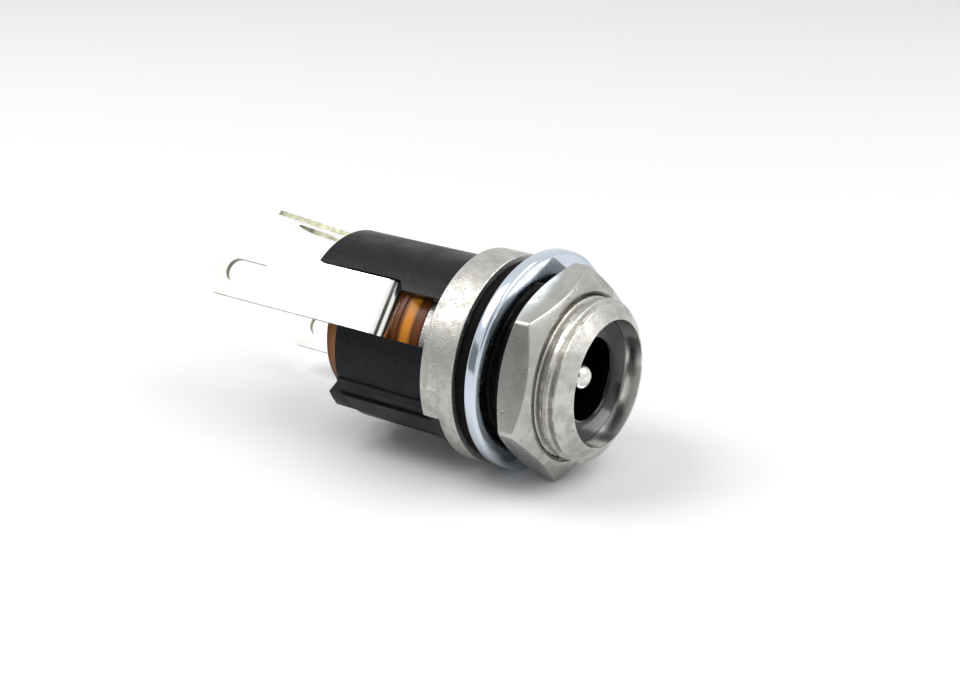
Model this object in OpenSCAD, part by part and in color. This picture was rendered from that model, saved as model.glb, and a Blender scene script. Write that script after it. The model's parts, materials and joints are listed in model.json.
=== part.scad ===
// Panel-mount DC barrel jack: a turned metal bush with a hex nut, a ring washer and a
// sealing gasket in front, and a slotted black housing behind it that holds the stack of
// phenolic rings, the three contacts and the centre pin.
// +X runs along the jack's axis and out of its mouth, and the origin is the centre of the
// flange's front face, which seats on the panel. The jack lies on its side, +Z up.
// Angles about the axis start at -Y and grow towards +Z.

/* [Bush] */
// Radius of the threaded barrel over its crests
thread_r = 6; // [5.8:0.1:6.4]
// Length of the barrel in front of the flange
barrel_len = 8.2; // [7.8:0.1:10]
// Distance from one thread groove to the next
thread_pitch = 0.75; // [0.6:0.05:1]
// Depth of the thread grooves
thread_depth = 0.4; // [0.2:0.05:0.45]
// Width of each thread groove over the crests
groove_w = 0.48; // [0.3:0.02:0.56]
// Width of each thread groove at its root
groove_root_w = 0.12; // [0.06:0.02:0.2]
// Plain length of the barrel between the flange and the first groove
thread_start = 0.4; // [0.2:0.1:1]
// Length along the axis of the cone at the mouth
mouth_cone_len = 0.85; // [0.5:0.05:1.2]
// Width of the rim that is left round the mouth
mouth_rim = 0.06; // [0.04:0.01:0.3]
// Radius of the bore through the bush
bush_bore_r = 4.7; // [4.3:0.1:5]
// Radius of the flange
flange_r = 7.9; // [7.7:0.1:8.6]
// Thickness of the flange's solid web
flange_web = 1.4; // [1:0.1:2]
// Depth of the cup behind the web, which the housing sits in
cup_depth = 1.4; // [1:0.1:2]
// How far the inner spigot reaches behind the flange's front face
spigot_reach = 4.9; // [4.2:0.1:5.4]
// Angle at which the cup's notch starts
notch_start = -70; // [-80:1:-60]
// Angle at which the cup's notch ends
notch_end = -18; // [-19:0.5:-16]

/* [Nut] */
// Width of the nut across its flats
nut_af = 14; // [13.6:0.1:16]
// Thickness of the nut
nut_thick = 2.8; // [2.2:0.1:3.2]
// Room that the leaning washer takes up between its middle and the nut
nut_gap = 0.46; // [0.46:0.01:0.9]
// How far inside the flats the chamfer leaves the nut's face
nut_face_inset = 0.4; // [0.1:0.05:0.5]
// Slope of the nut's chamfer, in degrees off the face
nut_chamfer_deg = 30; // [20:1:40]
// Angle of one corner of the nut
nut_corner_deg = 44.6; // [0:0.1:60]
// Clearance between the nut and the thread's crests
nut_clear = 0.06; // [0.04:0.01:0.12]
// Countersink of the nut's bore, each face
nut_sink = 0.25; // [0.1:0.05:0.35]

/* [Washer and gasket] */
// Outer radius of the ring washer
washer_r = 8.3; // [8:0.1:9]
// Clearance between the ring washer's hole and the thread's crests
washer_clear = 0.6; // [0.6:0.05:0.9]
// Thickness of the ring washer
washer_thick = 1.05; // [0.8:0.05:1.05]
// Bevel of the ring washer's outer edges
washer_bevel = 0.28; // [0.1:0.02:0.4]
// How far the loose washer's centre is off the axis
washer_shift = 0.46; // [0.3:0.02:0.48]
// Lean of the loose washer, in degrees
washer_lean_deg = 3.6; // [2:0.1:3.6]
// Place of the washer's rear face on the axis, in front of the gasket
washer_gap = 0.69; // [0.66:0.01:0.7]
// Outer radius of the sealing gasket
gasket_r = 7.45; // [7:0.05:7.7]
// Thickness of the sealing gasket
gasket_thick = 0.9; // [0.6:0.05:0.9]
// Clearance between the gasket and the thread's crests
gasket_clear = 0.12; // [0.05:0.01:0.2]

/* [Housing] */
// Outer radius of the housing
housing_r = 7; // [6.8:0.05:7.2]
// Clearance between the housing's bore and the rings in it
ring_clear = 0.1; // [0.05:0.05:0.3]
// Clearance between the housing and the cup
cup_clear = 0.05; // [0.03:0.01:0.1]
// How far the long fingers reach behind the flange's front face
finger_reach = 15.1; // [14:0.1:17]
// How far the short wall reaches behind the flange's front face
short_reach = 11.3; // [10.5:0.1:12]
// Width of the slots that the lugs leave through
slot_w = 4.5; // [4.4:0.05:4.8]
// How far the slots narrow in front of the lugs
slot_narrowing = 0.8; // [0.4:0.1:1.2]
// Length of the slope that narrows the slots
slot_slope_len = 0.6; // [0.3:0.1:1]
// Clearance between a contact's plate and the start of that slope
slot_clear = 0.15; // [0.1:0.05:0.3]
// How far the window in front of the near lug reaches into the cup
window_lap = 0.4; // [0.2:0.1:0.6]
// How far the other two slots reach in front of their contacts' plates
slot_lead = 1.6; // [1.2:0.1:2]
// Radius of the rib along the short wall
rib_r = 7.35; // [7.25:0.05:7.5]
// Radius of the low step beside the rib
rib_step_r = 7.15; // [7.1:0.05:7.2]
// Angle at which the rib starts
rib_start = -39; // [-50:1:-36]
// Angle at which the rib ends
rib_end = -26; // [-30:1:-22]
// Angle at which the low step ends
rib_step_end = -15; // [-17:0.5:-10]
// How far the rib reaches behind the flange's front face
rib_reach = 12.3; // [12:0.1:13]
// Radius of the key that fills the cup's notch
key_r = 7.75; // [7.5:0.05:7.85]
// Length of the key's slope down to the housing
key_len = 2.5; // [1.6:0.1:3]
// Clearance in degrees between the key and the ends of the notch
key_clear_deg = 2; // [1:0.5:4]

/* [Insulators] */
// Radius of the phenolic rings and of the bush's inner spigot, which share the housing's bore
ring_r = 5.5; // [5.3:0.05:5.5]
// Radius of the hole in the front rings, which clears the plug's sleeve
ring_hole_r = 3.8; // [3.7:0.05:4]
// Thickness of the thick front ring
front_ring_thick = 2.1; // [1.8:0.1:2.4]
// Thickness of the thin ring behind it
thin_ring_thick = 0.6; // [0.4:0.1:0.8]
// Thickness of the black spacer between the sleeve contact and the switch contact
spacer_thick = 2.9; // [2.5:0.1:3.2]
// Thickness of the rear phenolic disc
rear_disc_thick = 2; // [1.7:0.1:2.2]
// Clearance between a disc's flat and the contact's bend over it
flat_clear = 0.1; // [0.05:0.05:0.3]
// Radius of the plug's bore in the black liner
plug_bore_r = 3; // [2.85:0.05:3.3]
// How far the liner's face sits inside the mouth
liner_recess = 1.5; // [1:0.1:2.2]
// Length of the liner
liner_len = 5.6; // [4.5:0.1:6.2]
// Clearance between the liner and the bush's bore
liner_clear = 0.02; // [0.01:0.01:0.05]

/* [Contacts] */
// Thickness of the contacts' strip
strip_thick = 0.4; // [0.3:0.05:0.5]
// Width of the lugs
lug_w = 4.3; // [3.8:0.05:4.3]
// Distance of the lugs' outer faces from the axis
lug_h = 6.35; // [6.2:0.05:6.5]
// Radius on the outside of each lug's bend
bend_r = 1.1; // [0.8:0.05:1.3]
// How far the lugs reach behind the flange's front face
lug_reach = 25.1; // [23:0.1:28]
// Radius of the lugs' end corners
lug_corner_r = 1.1; // [0.6:0.1:1.6]
// Width of the slotted solder hole
hole_w = 1.9; // [1.4:0.1:2.2]
// Length of the slotted solder hole
hole_len = 4.3; // [3:0.1:5]
// Distance from the lug's end to the nearer end of the hole
hole_edge = 1.5; // [1.2:0.1:2]
// Angle of the sleeve contact's lug
sleeve_lug_deg = 38; // [34:1:40]
// Angle between neighbouring lugs
lug_pitch_deg = 90; // [88:1:92]
// Outward lean of the switch contact's lug, in degrees
switch_lean_deg = 4.5; // [3:0.5:4.5]
// How much closer to the axis the switch lug leaves its bend
switch_drop = 0.65; // [0.5:0.05:0.7]
// How far the rim of the switch contact's plate stays inside its bend
switch_plate_inset = 0.2; // [0.1:0.05:0.6]
// Width of the sleeve contact's spring leaf
leaf_w = 2; // [1.4:0.1:2.4]
// How far the spring leaf reaches in front of its plate
leaf_len = 7.6; // [6:0.1:8]
// Length of the leaf's tip, in front of the knee that presses on the plug
leaf_tip_len = 1.9; // [1:0.1:2.5]
// Gap between the plug's sleeve and the root of the spring leaf
leaf_root_gap = 0.35; // [0.2:0.05:0.4]
// How far the spring leaf's tip dips into the plug's path
leaf_dip = 0.3; // [0.1:0.05:0.4]

/* [Centre pin] */
// Radius of the centre pin
pin_r = 1.05; // [0.95:0.05:1.25]
// Distance from the mouth down to the pin's tip
pin_recess = 1.6; // [1:0.1:2.2]
// Radius of the collar that seats on the rear spacer
collar_r = 1.9; // [1.6:0.1:2.2]
// Thickness of that collar
collar_thick = 0.8; // [0.6:0.1:1]
// Clearance between the pin and what it passes through
pin_clear = 0.03; // [0.02:0.01:0.06]
// Radius of the terminal's round plate
terminal_r = 5; // [4.6:0.1:5.3]
// Radius of the pin's peened head
peen_r = 1.7; // [1.4:0.1:2]
// Thickness of the pin's peened head
peen_thick = 0.5; // [0.3:0.05:0.7]

/* [Hidden] */
$fn = 96;
cut = 1; // overshoot of cutting tools
plug_r = 2.75; // radius of the plug's sleeve

groove_count = floor((barrel_len - mouth_cone_len - thread_start) / thread_pitch);
nut_corner_r = nut_af / 2 / cos(30);
nut_face_r = nut_af / 2 - nut_face_inset;
nut_slope = tan(nut_chamfer_deg);
mouth_rim_r = bush_bore_r + mouth_rim;
housing_bore_r = ring_r + ring_clear;
cup_r = housing_r + cup_clear;
cup_x = -(flange_web + cup_depth);
washer_hole_r = thread_r + washer_clear;
washer_x = gasket_thick + washer_gap;
nut_rear = washer_x + washer_thick + nut_gap;
nut_front = nut_rear + nut_thick;
washer_lift_deg = 64; // angle of the washer's shift, from +Y towards +Z
washer_turn_deg = 25; // side that the washer leans forward on, from +Y towards +Z

// The stack behind the bush, from the spigot's end to the rear
front_ring_x = -spigot_reach;
thin_ring_x = front_ring_x - front_ring_thick;
sleeve_plate_x = thin_ring_x - thin_ring_thick;
spacer_x = sleeve_plate_x - strip_thick;
switch_plate_x = spacer_x - spacer_thick;
rear_disc_x = switch_plate_x - strip_thick;
terminal_x = rear_disc_x - rear_disc_thick;
peen_x = terminal_x - strip_thick;
pin_tip_x = barrel_len - pin_recess;
liner_front_x = barrel_len - liner_recess;
sleeve_bend_h = lug_h - bend_r;
switch_bend_h = sleeve_bend_h - switch_drop;
switch_lug_deg = sleeve_lug_deg + lug_pitch_deg;
terminal_lug_deg = switch_lug_deg + lug_pitch_deg;

// Turns a shape drawn along Z so that it runs along X
module along_x() {
    rotate([0, 90, 0]) children();
}

// Turns a shape whose outward side is +Z to an angle about the axis
module at_angle(deg) {
    rotate([90 - deg, 0, 0]) children();
}

// Solid cylinder from one place on the axis to another
module rod(r, from_x, to_x) {
    translate([from_x, 0, 0]) along_x() cylinder(r = r, h = to_x - from_x);
}

// Ring from one place on the axis to another
module ring(r, hole_r, from_x, to_x) {
    difference() {
        rod(r, from_x, to_x);
        rod(hole_r, from_x - cut, to_x + cut);
    }
}

// Solid of revolution: its points are [radius, place on the axis]
module turned(points) {
    along_x() rotate_extrude() polygon(points);
}

// Wedge about the axis between two angles, as a cutting or keeping shape
module sector(start_deg, end_deg, reach, from_x, to_x) {
    steps = 6;
    step = (end_deg - start_deg) / steps;
    rim = [for (i = [0 : steps]) let (a = start_deg + i * step) [-reach * cos(a), reach * sin(a)]];
    // drawn in (Y, Z) and raised along X
    translate([from_x, 0, 0])
        rotate([90, 0, 90]) linear_extrude(height = to_x - from_x) polygon(concat([[0, 0]], rim));
}

// Outline of the thread grooves, from the front one to the rear one
function groove_points() = [
    for (i = [groove_count - 1 : -1 : 0], p = [
        [0, groove_w / 2],
        [thread_depth, groove_root_w / 2],
        [thread_depth, -groove_root_w / 2],
        [0, -groove_w / 2],
    ]) [thread_r - p[0], thread_start + (i + 0.5) * thread_pitch + p[1]]
];

// Threaded barrel, flange, cup and inner spigot, turned from one bar
module threaded_bush() {
    color([0.80, 0.79, 0.76])
    difference() {
        turned(concat(
            [
                [bush_bore_r, barrel_len],
                [mouth_rim_r, barrel_len],
                [thread_r, barrel_len - mouth_cone_len],
            ],
            groove_points(),
            [
                [thread_r, 0],
                [flange_r, 0],
                [flange_r, cup_x],
                [cup_r, cup_x],
                [cup_r, -flange_web],
                [ring_r, -flange_web],
                [ring_r, -spigot_reach],
                [bush_bore_r, -spigot_reach],
            ]
        ));
        difference() {
            sector(notch_start, notch_end, flange_r + cut, cup_x - cut, -flange_web);
            rod(cup_r - cut / 2, cup_x - 2 * cut, 0);
        }
    }
}

// Hexagon with a chamfer on both faces and a plain bore over the thread
module hex_nut() {
    chamfer_len = (nut_corner_r - nut_face_r) * nut_slope;
    color([0.72, 0.71, 0.68])
    difference() {
        intersection() {
            translate([nut_rear, 0, 0]) at_angle(nut_corner_deg) along_x()
                cylinder(r = nut_corner_r, h = nut_thick, $fn = 6);
            turned([
                [0, nut_rear],
                [nut_face_r, nut_rear],
                [nut_corner_r, nut_rear + chamfer_len],
                [nut_corner_r, nut_front - chamfer_len],
                [nut_face_r, nut_front],
                [0, nut_front],
            ]);
        }
        turned([
            [0, nut_rear - cut],
            [thread_r + nut_clear + nut_sink + cut, nut_rear - cut],
            [thread_r + nut_clear, nut_rear + nut_sink],
            [thread_r + nut_clear, nut_front - nut_sink],
            [thread_r + nut_clear + nut_sink + cut, nut_front + cut],
            [0, nut_front + cut],
        ]);
    }
}

// Loose plain ring, off centre and leaning between the gasket and the nut
module ring_washer() {
    color([0.78, 0.81, 0.85])
    translate([washer_x, washer_shift * cos(washer_lift_deg), washer_shift * sin(washer_lift_deg)])
        rotate([washer_turn_deg, 0, 0]) rotate([0, 0, -washer_lean_deg]) turned([
            [washer_hole_r, 0],
            [washer_r - washer_bevel, 0],
            [washer_r, washer_bevel],
            [washer_r, washer_thick - washer_bevel],
            [washer_r - washer_bevel, washer_thick],
            [washer_hole_r, washer_thick],
        ]);
}

// Rubber ring between the flange and the panel
module sealing_gasket() {
    color([0.06, 0.06, 0.06]) ring(gasket_r, thread_r + gasket_clear, 0, gasket_thick);
}

// Black insulating sleeve inside the bush, with the plug's bore
module bore_liner() {
    color([0.05, 0.05, 0.05])
        ring(bush_bore_r - liner_clear, plug_bore_r, liner_front_x - liner_len, liner_front_x);
}

// Slot that a lug leaves through: wide as far as the contact's plate, narrower in front of it
module lug_slot(deg, plate_x, front_x) {
    half = slot_w / 2;
    slope_x = plate_x + slot_clear;
    at_angle(deg) linear_extrude(height = rib_r + cut) polygon([
        [-finger_reach - cut, -half],
        [front_x, -half],
        [front_x, half - slot_narrowing],
        [slope_x + slot_slope_len, half - slot_narrowing],
        [slope_x, half],
        [-finger_reach - cut, half],
    ]);
}

// Key that fills the cup's notch: full height at the flange, sloping down behind it
module housing_key() {
    start = notch_start + key_clear_deg;
    end = notch_end - key_clear_deg;
    top_x = -flange_web;
    root_r = (housing_bore_r + housing_r) / 2;
    // the slope runs on inside the wall, down to the root
    root_x = top_x - key_len * (key_r - root_r) / (key_r - housing_r);
    intersection() {
        turned([[root_r, top_x], [key_r, top_x], [root_r, root_x]]);
        sector(start, end, flange_r + cut, root_x - cut, 0);
    }
}

// Slotted black shell with a short lower wall, a rib along it and a key in the cup's notch
module housing() {
    short_start = terminal_lug_deg - 360;
    step_start = (rib_start + rib_end) / 2; // the step starts inside the rib
    color([0.07, 0.07, 0.08])
    difference() {
        union() {
            difference() {
                rod(housing_r, -finger_reach, -flange_web);
                sector(short_start, sleeve_lug_deg, rib_r + cut, -finger_reach - cut, -short_reach);
            }
            intersection() {
                rod(rib_step_r, -short_reach, cup_x - cup_clear);
                sector(step_start, rib_step_end, rib_r + cut, -short_reach - cut, 0);
            }
            intersection() {
                rod(rib_r, -rib_reach, -flange_web);
                sector(rib_start, rib_end, rib_r + cut, -rib_reach - cut, 0);
            }
            housing_key();
        }
        rod(housing_bore_r, -finger_reach - cut, 0);
        lug_slot(sleeve_lug_deg, sleeve_plate_x, cup_x + window_lap);
        lug_slot(switch_lug_deg, switch_plate_x, switch_plate_x + slot_lead);
        lug_slot(terminal_lug_deg, terminal_x, terminal_x + slot_lead);
    }
}

// Thick phenolic ring against the spigot
module front_ring() {
    color([0.62, 0.33, 0.08]) ring(ring_r, ring_hole_r, thin_ring_x, front_ring_x);
}

// Thin phenolic ring in front of the sleeve contact
module thin_ring() {
    color([0.56, 0.28, 0.07]) ring(ring_r, ring_hole_r, sleeve_plate_x, thin_ring_x);
}

// Flat of a lug from its bend to its end, with round corners and a slotted hole.
// It lies on the XY plane, its thickness upwards, and runs to -X.
module lug_flat(from_x, to_x) {
    corner_x = to_x + lug_corner_r;
    corner_y = lug_w / 2 - lug_corner_r;
    hole_x = to_x + hole_edge + hole_w / 2;
    linear_extrude(height = strip_thick) difference() {
        union() {
            translate([corner_x, -lug_w / 2]) square([from_x - corner_x, lug_w]);
            translate([to_x, -corner_y]) square([from_x - to_x, 2 * corner_y]);
            for (side = [-1, 1]) translate([corner_x, side * corner_y]) circle(r = lug_corner_r);
        }
        translate([hole_x, 0]) circle(d = hole_w);
        translate([hole_x, -hole_w / 2]) square([hole_len - hole_w, hole_w]);
        translate([hole_x + hole_len - hole_w, 0]) circle(d = hole_w);
    }
}

// Bend between the plate's arm and the lug, outside radius bend_r, about its own centre.
// It turns from +X towards +Z, and stops short of a quarter turn by the lug's lean.
module lug_bend(lean_deg) {
    far = 2 * bend_r;
    rotate([90, 0, 0]) translate([0, 0, -lug_w / 2]) linear_extrude(height = lug_w) intersection() {
        difference() {
            circle(r = bend_r);
            circle(r = bend_r - strip_thick);
        }
        polygon([[0, 0], [far, 0], [far, far], [far * sin(lean_deg), far * cos(lean_deg)]]);
    }
}

// Plate across the stack, the arm that rises from it, the bend and the lug
module contact(deg, plate_x, plate_r, hole_r, bend_h, lean_deg) {
    bend_x = plate_x - bend_r;
    difference() {
        union() {
            rod(plate_r, plate_x - strip_thick, plate_x);
            at_angle(deg) translate([plate_x - strip_thick, -lug_w / 2, 0])
                cube([strip_thick, lug_w, bend_h]);
        }
        rod(hole_r, plate_x - strip_thick - cut, plate_x + cut);
    }
    at_angle(deg) translate([bend_x, 0, bend_h]) {
        lug_bend(lean_deg);
        rotate([0, lean_deg, 0]) translate([0, 0, bend_r - strip_thick]) lug_flat(0, -lug_reach - bend_x);
    }
}

// Spring leaf that rises from the sleeve contact's hole and presses on the plug's sleeve
module spring_leaf() {
    root_h = plug_r + leaf_root_gap;
    tip_h = plug_r - leaf_dip;
    tip_x = sleeve_plate_x + leaf_len;
    knee_x = tip_x - leaf_tip_len;
    at_angle(sleeve_lug_deg) translate([0, leaf_w / 2, 0]) rotate([90, 0, 0])
        linear_extrude(height = leaf_w) polygon([
            [sleeve_plate_x - strip_thick, root_h],
            [sleeve_plate_x, root_h],
            [knee_x, tip_h],
            [tip_x, root_h - strip_thick / 2],
            [tip_x, root_h + strip_thick / 2],
            [knee_x, tip_h + strip_thick],
            [sleeve_plate_x, root_h + strip_thick],
            [sleeve_plate_x, ring_hole_r + strip_thick],
            [sleeve_plate_x - strip_thick, ring_hole_r + strip_thick],
        ]);
}

// Contact for the plug's sleeve, with the lug that faces the near side
module sleeve_contact() {
    color([0.86, 0.85, 0.82]) {
        contact(sleeve_lug_deg, sleeve_plate_x, ring_r, ring_hole_r, sleeve_bend_h, 0);
        spring_leaf();
    }
}

// Flat on a disc's rim, just under the bend of a contact
module rim_flat(deg, bend_h, from_x, to_x) {
    at_angle(deg) translate([from_x - cut, -ring_r, bend_h - flat_clear])
        cube([to_x - from_x + 2 * cut, 2 * ring_r, ring_r]);
}

// Black moulded spacer between the two spring contacts
module spacer() {
    color([0.10, 0.09, 0.09]) difference() {
        ring(ring_r, pin_r + pin_clear, switch_plate_x, spacer_x);
        rod(collar_r + pin_clear, spacer_x - collar_thick, spacer_x + cut);
        rim_flat(sleeve_lug_deg, sleeve_bend_h, switch_plate_x, spacer_x);
    }
}

// Contact that opens when a plug goes in, with the upper lug
module switch_contact() {
    color([0.84, 0.83, 0.79])
        contact(switch_lug_deg, switch_plate_x, switch_bend_h - switch_plate_inset,
            collar_r + strip_thick, switch_bend_h, switch_lean_deg);
}

// Thick phenolic disc that closes the stack
module rear_disc() {
    color([0.50, 0.24, 0.07]) difference() {
        ring(ring_r, pin_r + pin_clear, terminal_x, rear_disc_x);
        rim_flat(switch_lug_deg, switch_bend_h, terminal_x, rear_disc_x);
    }
}

// Round plate riveted on the centre pin, with the far lug
module pin_terminal() {
    color([0.85, 0.84, 0.80])
        contact(terminal_lug_deg, terminal_x, terminal_r, pin_r + pin_clear, sleeve_bend_h, 0);
}

// Centre pin with a domed tip, a collar and a peened rear head
module centre_pin() {
    color([0.88, 0.87, 0.84]) {
        rod(pin_r, peen_x - peen_thick, pin_tip_x - pin_r);
        translate([pin_tip_x - pin_r, 0, 0]) sphere(r = pin_r);
        rod(collar_r, spacer_x - collar_thick, spacer_x);
        rod(peen_r, peen_x - peen_thick, peen_x);
    }
}

threaded_bush();
hex_nut();
ring_washer();
sealing_gasket();
bore_liner();
housing();
front_ring();
thin_ring();
sleeve_contact();
spacer();
switch_contact();
rear_disc();
pin_terminal();
centre_pin();
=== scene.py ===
"""Looks of a panel-mount DC barrel jack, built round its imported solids.

The frame gives the solids in metres: +X runs along the jack's axis and out of its mouth, the
origin is the centre of the flange's front face and +Z is up as the jack lies on its side.
Lengths in the classes below are in millimetres. An angle phi about the axis starts at -Y and
grows towards +Z, so a point at radius r has y = -r cos(phi) and z = r sin(phi).
"""

from __future__ import annotations

import json
import logging
import math
from dataclasses import dataclass, field
from enum import Enum
from typing import Any, Iterable, Sequence

import bmesh
import bpy
import numpy as np
from mathutils import Matrix, Vector

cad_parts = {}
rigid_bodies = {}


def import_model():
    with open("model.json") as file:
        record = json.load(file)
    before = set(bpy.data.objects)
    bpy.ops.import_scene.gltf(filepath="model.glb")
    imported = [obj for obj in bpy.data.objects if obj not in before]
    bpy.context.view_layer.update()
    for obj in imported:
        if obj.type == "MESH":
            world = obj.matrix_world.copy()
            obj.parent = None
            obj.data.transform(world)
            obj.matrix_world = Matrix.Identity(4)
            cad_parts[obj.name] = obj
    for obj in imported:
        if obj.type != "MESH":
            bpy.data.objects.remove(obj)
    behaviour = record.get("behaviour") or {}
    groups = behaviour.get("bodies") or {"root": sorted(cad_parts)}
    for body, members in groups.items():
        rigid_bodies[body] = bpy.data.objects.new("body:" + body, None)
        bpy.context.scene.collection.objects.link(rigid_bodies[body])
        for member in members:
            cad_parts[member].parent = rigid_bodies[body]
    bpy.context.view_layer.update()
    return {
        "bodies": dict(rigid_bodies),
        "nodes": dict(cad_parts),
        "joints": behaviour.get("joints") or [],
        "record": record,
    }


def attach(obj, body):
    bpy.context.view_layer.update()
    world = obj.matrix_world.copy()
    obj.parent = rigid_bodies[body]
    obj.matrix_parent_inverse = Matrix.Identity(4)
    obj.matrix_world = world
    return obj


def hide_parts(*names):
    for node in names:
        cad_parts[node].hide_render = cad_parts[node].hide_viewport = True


LOG = logging.getLogger("barrel_jack")
MM = 0.001
TURN = 2.0 * math.pi
MERGE_GAP = 1e-7
NO_LENGTH = 1e-8
SIDE_SHARE = 0.48
Colour = tuple[float, float, float]


# ---------------------------------------------------------------- shapes


def around(count: int, extra: Iterable[float] = ()) -> np.ndarray:
    """Angles about the axis.

    Args:
        count: number of even steps in a full turn.
        extra: angles in degrees that the steps also hold, such as the sides of a notch.

    Returns:
        Sorted angles in radians, within one turn.
    """
    even = np.arange(count) * TURN / count
    more = np.radians(np.array(list(extra), dtype=float)) % TURN
    return np.unique(np.concatenate([even, more]).round(9))


def soften(outline: np.ndarray, reach: Sequence[float], steps: int = 4,
           closed: bool = True) -> np.ndarray:
    """Rounds the corners of outlines.

    A corner P gives way to the curve (1-s)^2 A + 2s(1-s) P + s^2 B, where A and B lie on its
    two sides, `reach` away from P and never further than SIDE_SHARE of a side.

    Args:
        outline: points of the outlines, shaped (..., corners, 2).
        reach: how far back each corner's curve starts, one value a corner.
        steps: points on each curve.
        closed: whether the last corner joins the first.

    Returns:
        The rounded outlines, shaped (..., corners * steps, 2).
    """
    sizes = np.asarray(reach, dtype=float)[:, None]

    def towards(other: np.ndarray) -> np.ndarray:
        """Point on the side from each corner to the other one."""
        side = other - outline
        length = np.maximum(np.linalg.norm(side, axis=-1, keepdims=True), 1e-9)
        return outline + side * np.minimum(sizes / length, SIDE_SHARE)

    start = towards(np.roll(outline, 1, axis=-2))[..., None, :]
    end = towards(np.roll(outline, -1, axis=-2))[..., None, :]
    corner = outline[..., None, :]
    s = np.linspace(0.0, 1.0, steps)[:, None]
    curve = (1 - s) ** 2 * start + 2 * s * (1 - s) * corner + s**2 * end
    if not closed:
        curve[..., 0, :, :] = corner[..., 0, :, :]
        curve[..., -1, :, :] = corner[..., -1, :, :]
    return curve.reshape(*outline.shape[:-2], -1, 2)


def surface(name: str, points: np.ndarray, loop_columns: bool,
            crease_deg: float) -> bpy.types.Object:
    """Makes a closed piece from a grid of points whose last row joins the first.

    The face at (i, j) joins the points (i, j), (i+1, j), (i+1, j+1) and (i, j+1). Points that
    coincide are merged, which closes the poles, and the faces are turned round if the volume
    they enclose comes out negative.

    Args:
        name: the piece's name.
        points: grid of points in millimetres, shaped (rows, columns, 3).
        loop_columns: whether the last column joins the first.
        crease_deg: edges sharper than this stay crisp.

    Returns:
        The new object, linked to the scene.
    """
    rows, columns = points.shape[:2]
    i = np.arange(rows)[:, None]
    j = np.arange(columns if loop_columns else columns - 1)[None, :]
    i2, j2 = (i + 1) % rows, (j + 1) % columns
    quads = np.stack([i * columns + j, i2 * columns + j, i2 * columns + j2, i * columns + j2],
                     axis=-1)
    mesh = bpy.data.meshes.new(name)
    mesh.from_pydata((points.reshape(-1, 3) * MM).tolist(), [], quads.reshape(-1, 4).tolist())
    return settle(name, mesh, crease_deg)


def settle(name: str, mesh: bpy.types.Mesh, crease_deg: float) -> bpy.types.Object:
    """Merges a mesh's doubles, turns its faces outwards, shades it smooth and links it."""
    work = bmesh.new()
    work.from_mesh(mesh)
    bmesh.ops.remove_doubles(work, verts=work.verts, dist=MERGE_GAP)
    bmesh.ops.dissolve_degenerate(work, edges=work.edges, dist=NO_LENGTH)
    if work.calc_volume(signed=True) < 0:
        bmesh.ops.reverse_faces(work, faces=work.faces)
    work.to_mesh(mesh)
    work.free()
    mesh.polygons.foreach_set("use_smooth", np.ones(len(mesh.polygons), dtype=bool))
    mesh.set_sharp_from_angle(angle=math.radians(crease_deg))
    piece = bpy.data.objects.new(name, mesh)
    bpy.context.scene.collection.objects.link(piece)
    return piece


def lathe(name: str, phi: np.ndarray, outline: np.ndarray, closed: bool = True,
          place: np.ndarray | None = None, crease_deg: float = 38.0) -> bpy.types.Object:
    """Turns an outline about the axis: the point is (x, -r cos(phi), r sin(phi)).

    Args:
        name: the piece's name.
        phi: angles about the axis, in radians.
        outline: (x, r) pairs, shaped (points, 2), or (angles, points, 2) where they differ.
        closed: whether the outline is a loop round a ring's section.
        place: rotation and shift of the turned shape, 3 by 4, in millimetres.
        crease_deg: edges sharper than this stay crisp.

    Returns:
        The new object.
    """
    outline = np.broadcast_to(outline, (len(phi), *outline.shape[-2:]))
    x, r = outline[..., 0], outline[..., 1]
    points = np.stack([x, -r * np.cos(phi)[:, None], r * np.sin(phi)[:, None]], axis=-1)
    if place is not None:
        points = points @ place[:, :3].T + place[:, 3]
    return surface(name, points, closed, crease_deg)


def carried_over(frame: dict[str, Any], node: str, name: str, edge: float,
                 crease_deg: float = 30.0, flat_deg: float = 0.5) -> bpy.types.Object:
    """Copies a CAD node's mesh into a new piece with merged points and rounded edges.

    Args:
        node: the CAD node.
        name: the new piece's name.
        edge: width of the rounded edges, in millimetres.
        crease_deg: edges sharper than this are rounded.
        flat_deg: faces closer than this to one plane become one face.

    Returns:
        The new object, which replaces the node.
    """
    mesh = frame["nodes"][node].data.copy()
    mesh.name = name
    mesh.materials.clear()
    work = bmesh.new()
    work.from_mesh(mesh)
    bmesh.ops.remove_doubles(work, verts=work.verts, dist=MERGE_GAP)
    bmesh.ops.dissolve_limit(work, angle_limit=math.radians(flat_deg), verts=work.verts,
                             edges=work.edges)
    work.to_mesh(mesh)
    work.free()
    piece = settle(name, mesh, crease_deg)
    rounding = piece.modifiers.new("rounded edges", "BEVEL")
    rounding.width = edge * MM
    rounding.segments = 2
    rounding.limit_method = "ANGLE"
    rounding.angle_limit = math.radians(crease_deg)
    rounding.harden_normals = True
    return piece


# ---------------------------------------------------------------- node trees


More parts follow.
